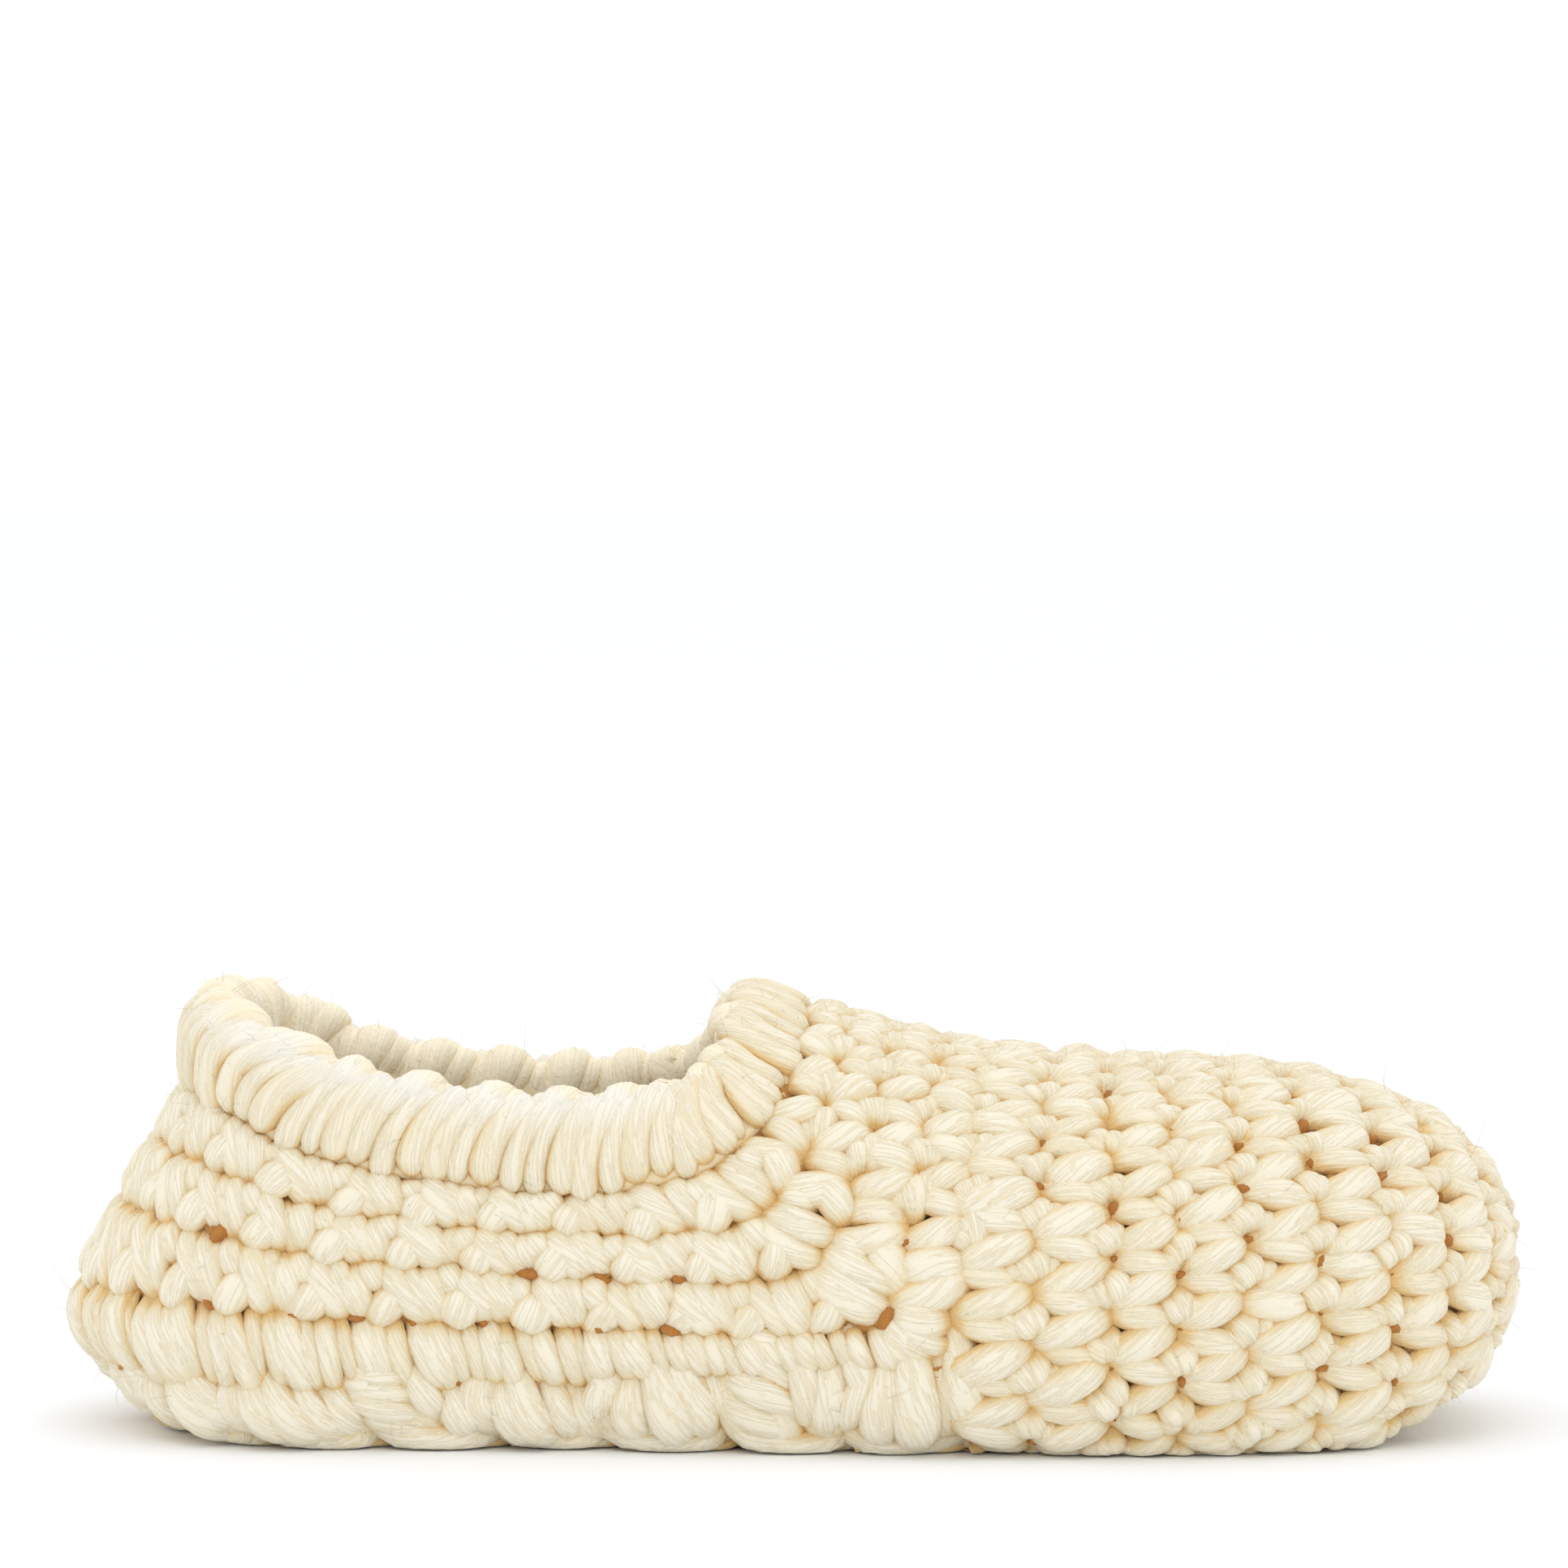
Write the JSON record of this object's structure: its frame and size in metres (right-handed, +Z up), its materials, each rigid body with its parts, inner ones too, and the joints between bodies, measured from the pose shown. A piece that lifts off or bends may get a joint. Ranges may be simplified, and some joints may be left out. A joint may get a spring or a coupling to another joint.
{
  "type": "slipper sock",
  "caption": "Chunky crocheted slipper sock with a closed rounded toe, a low foot opening with a thick wrapped collar roll, and a ribbed crocheted sole.",
  "frame": {"origin": "on the floor, under the middle of the shoe's length and width", "axes": "+X towards the toe, +Y towards one side, +Z up"},
  "size_m": [0.2499, 0.094, 0.0767],
  "materials": {
    "upper_wool": "matte, softly fuzzy wool yarn",
    "sole_wool": "matte, softly fuzzy wool yarn, pressed flat by the floor",
    "collar_wool": "matte, softly fuzzy wool yarn"
  },
  "bodies": {
    "root": {"upper": "upper_wool", "sole": "sole_wool", "collar": "collar_wool"}
  },
  "joints": []
}
